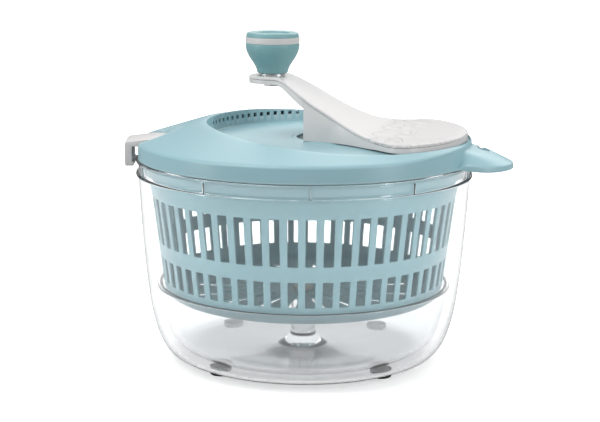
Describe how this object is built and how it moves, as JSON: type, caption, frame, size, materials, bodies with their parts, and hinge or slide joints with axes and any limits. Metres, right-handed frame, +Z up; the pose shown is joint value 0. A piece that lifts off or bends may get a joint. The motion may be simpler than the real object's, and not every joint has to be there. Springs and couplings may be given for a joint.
{
  "type": "salad spinner",
  "caption": "Hand-cranked salad spinner: clear round bowl on feet, drip tray, slotted basket, geared lid with side crank, knob, rim latch and pull tab.",
  "frame": {"origin": "on the bowl's axis, in the plane of the bowl's flat underside", "axes": "+Z up the bowl's axis, +X from that axis towards the lid's tab, latch on the -X side"},
  "size_m": [0.2901, 0.2524, 0.2457],
  "materials": {
    "clear_shell": "clear polished moulding",
    "aqua": "fine satin moulding",
    "deep_aqua": "fine satin moulding",
    "white": "semi-gloss moulding",
    "nylon": "natural moulded",
    "steel": "turned and brushed",
    "rubber": "matt moulded"
  },
  "bodies": {
    "bowl": {"bowl": "clear_shell", "foot_1": "rubber", "foot_2": "rubber", "foot_3": "rubber", "foot_4": "rubber"},
    "tray": {"drip_tray": "clear_shell", "pivot_pin": "steel"},
    "pivot": {"pivot_bush": "nylon"},
    "basket": {"basket": "aqua"},
    "lid": {"lid_shell": "aqua", "gear_cover": "aqua", "cover_screw_1": "steel", "cover_screw_2": "steel", "cover_screw_3": "steel", "cover_screw_4": "steel", "crank_bush": "nylon", "drive_bush": "nylon", "latch_pin": "steel"},
    "latch": {"latch": "white"},
    "crank": {"crank_arm": "white", "crank_cover": "white", "ring_gear": "nylon", "crank_washer": "steel", "crank_screw": "steel", "knob_pin": "steel", "knob_nut": "steel", "knob_screw": "steel"},
    "knob": {"knob_body": "deep_aqua", "knob_band": "white", "knob_cap": "deep_aqua"},
    "drive": {"pinion": "nylon", "drive_shaft": "steel", "thrust_washer": "nylon", "drive_disc": "deep_aqua", "drive_screw": "steel"}
  },
  "joints": [
    {"name": "lid_lift", "type": "slide", "parent": "bowl", "child": "lid", "axis": [0, 0, 1], "range_m": [0, 0.26]},
    {"name": "tray_lift", "type": "slide", "parent": "bowl", "child": "tray", "axis": [0, 0, 1], "range_m": [0, 0.13]},
    {"name": "basket_lift", "type": "slide", "parent": "tray", "child": "pivot", "axis": [0, 0, 1], "range_m": [0, 0.065]},
    {"name": "basket_spin", "type": "hinge", "parent": "pivot", "child": "basket", "pos_m": [0, 0, 0.05], "axis": [0, 0, 1], "continuous": true},
    {"name": "latch_swing", "type": "hinge", "parent": "lid", "child": "latch", "pos_m": [-0.11439, -0.0328, 0.1574], "axis": [-0.2756, 0.9613, 0], "range_deg": [-6, 14]},
    {"name": "crank_spin", "type": "hinge", "parent": "lid", "child": "crank", "pos_m": [0.026, 0, 0.165], "axis": [0, 0, 1], "continuous": true},
    {"name": "drive_spin", "type": "hinge", "parent": "lid", "child": "drive", "pos_m": [0, 0, 0.145], "axis": [0, 0, 1], "continuous": true},
    {"name": "knob_spin", "type": "hinge", "parent": "crank", "child": "knob", "pos_m": [-0.025, 0, 0.22], "axis": [0, 0, 1], "continuous": true}
  ],
  "couplings": [
    {"joint": "tray_lift", "follows": "lid_lift", "ratio": 0.5},
    {"joint": "basket_lift", "follows": "lid_lift", "ratio": 0.25},
    {"joint": "basket_spin", "follows": "crank_spin", "ratio": 3.6},
    {"joint": "drive_spin", "follows": "crank_spin", "ratio": 3.6}
  ]
}
